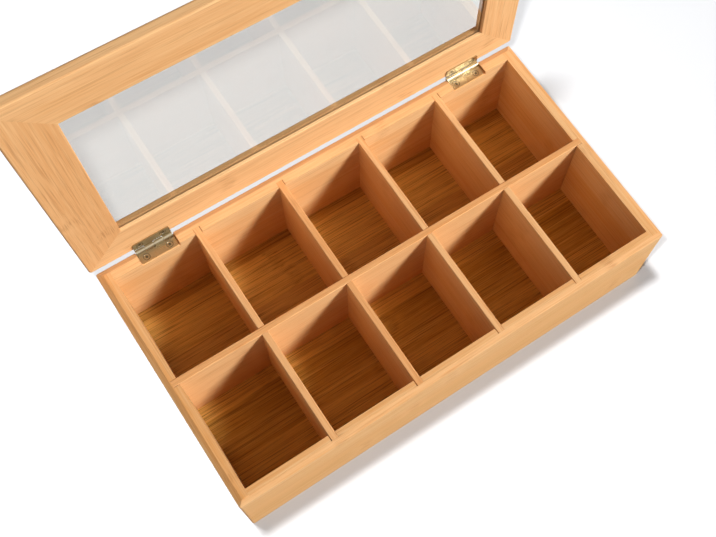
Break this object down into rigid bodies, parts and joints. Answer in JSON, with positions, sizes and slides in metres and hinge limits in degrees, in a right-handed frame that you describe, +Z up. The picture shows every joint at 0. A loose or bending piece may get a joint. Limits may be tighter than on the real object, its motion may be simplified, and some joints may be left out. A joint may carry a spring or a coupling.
{
  "type": "tea bag organizer box",
  "caption": "Bamboo box with two rows of open compartments for tea bags and a framed, hinged lid that holds a clear window.",
  "frame": {"origin": "middle of the box's underside, on the surface that it stands on", "axes": "+X to the right along the box's length, +Y back to the hinges, +Z up"},
  "size_m": [0.365, 0.2053, 0.2751],
  "materials": {
    "bamboo": "satin lacquer over laminated bamboo",
    "clear_pane": "clear, polished",
    "brass": "bright plated"
  },
  "bodies": {
    "box": {"front_wall": "bamboo", "back_wall": "bamboo", "left_wall": "bamboo", "right_wall": "bamboo", "base_panel": "bamboo", "long_divider": "bamboo", "cross_divider_1": "bamboo", "cross_divider_2": "bamboo", "cross_divider_3": "bamboo", "cross_divider_4": "bamboo", "left_body_leaf": "brass", "left_hinge_pin": "brass", "left_body_screws": "brass", "right_body_leaf": "brass", "right_hinge_pin": "brass", "right_body_screws": "brass"},
    "lid": {"lid_front_rail": "bamboo", "lid_back_rail": "bamboo", "lid_left_stile": "bamboo", "lid_right_stile": "bamboo", "window_pane": "clear_pane", "left_lid_leaf": "brass", "left_lid_screws": "brass", "right_lid_leaf": "brass", "right_lid_screws": "brass"}
  },
  "joints": [
    {"name": "lid_hinge", "type": "hinge", "parent": "box", "child": "lid", "pos_m": [0, 0.0974, 0.0739], "axis": [1, 0, 0], "range_deg": [0, 90]}
  ]
}
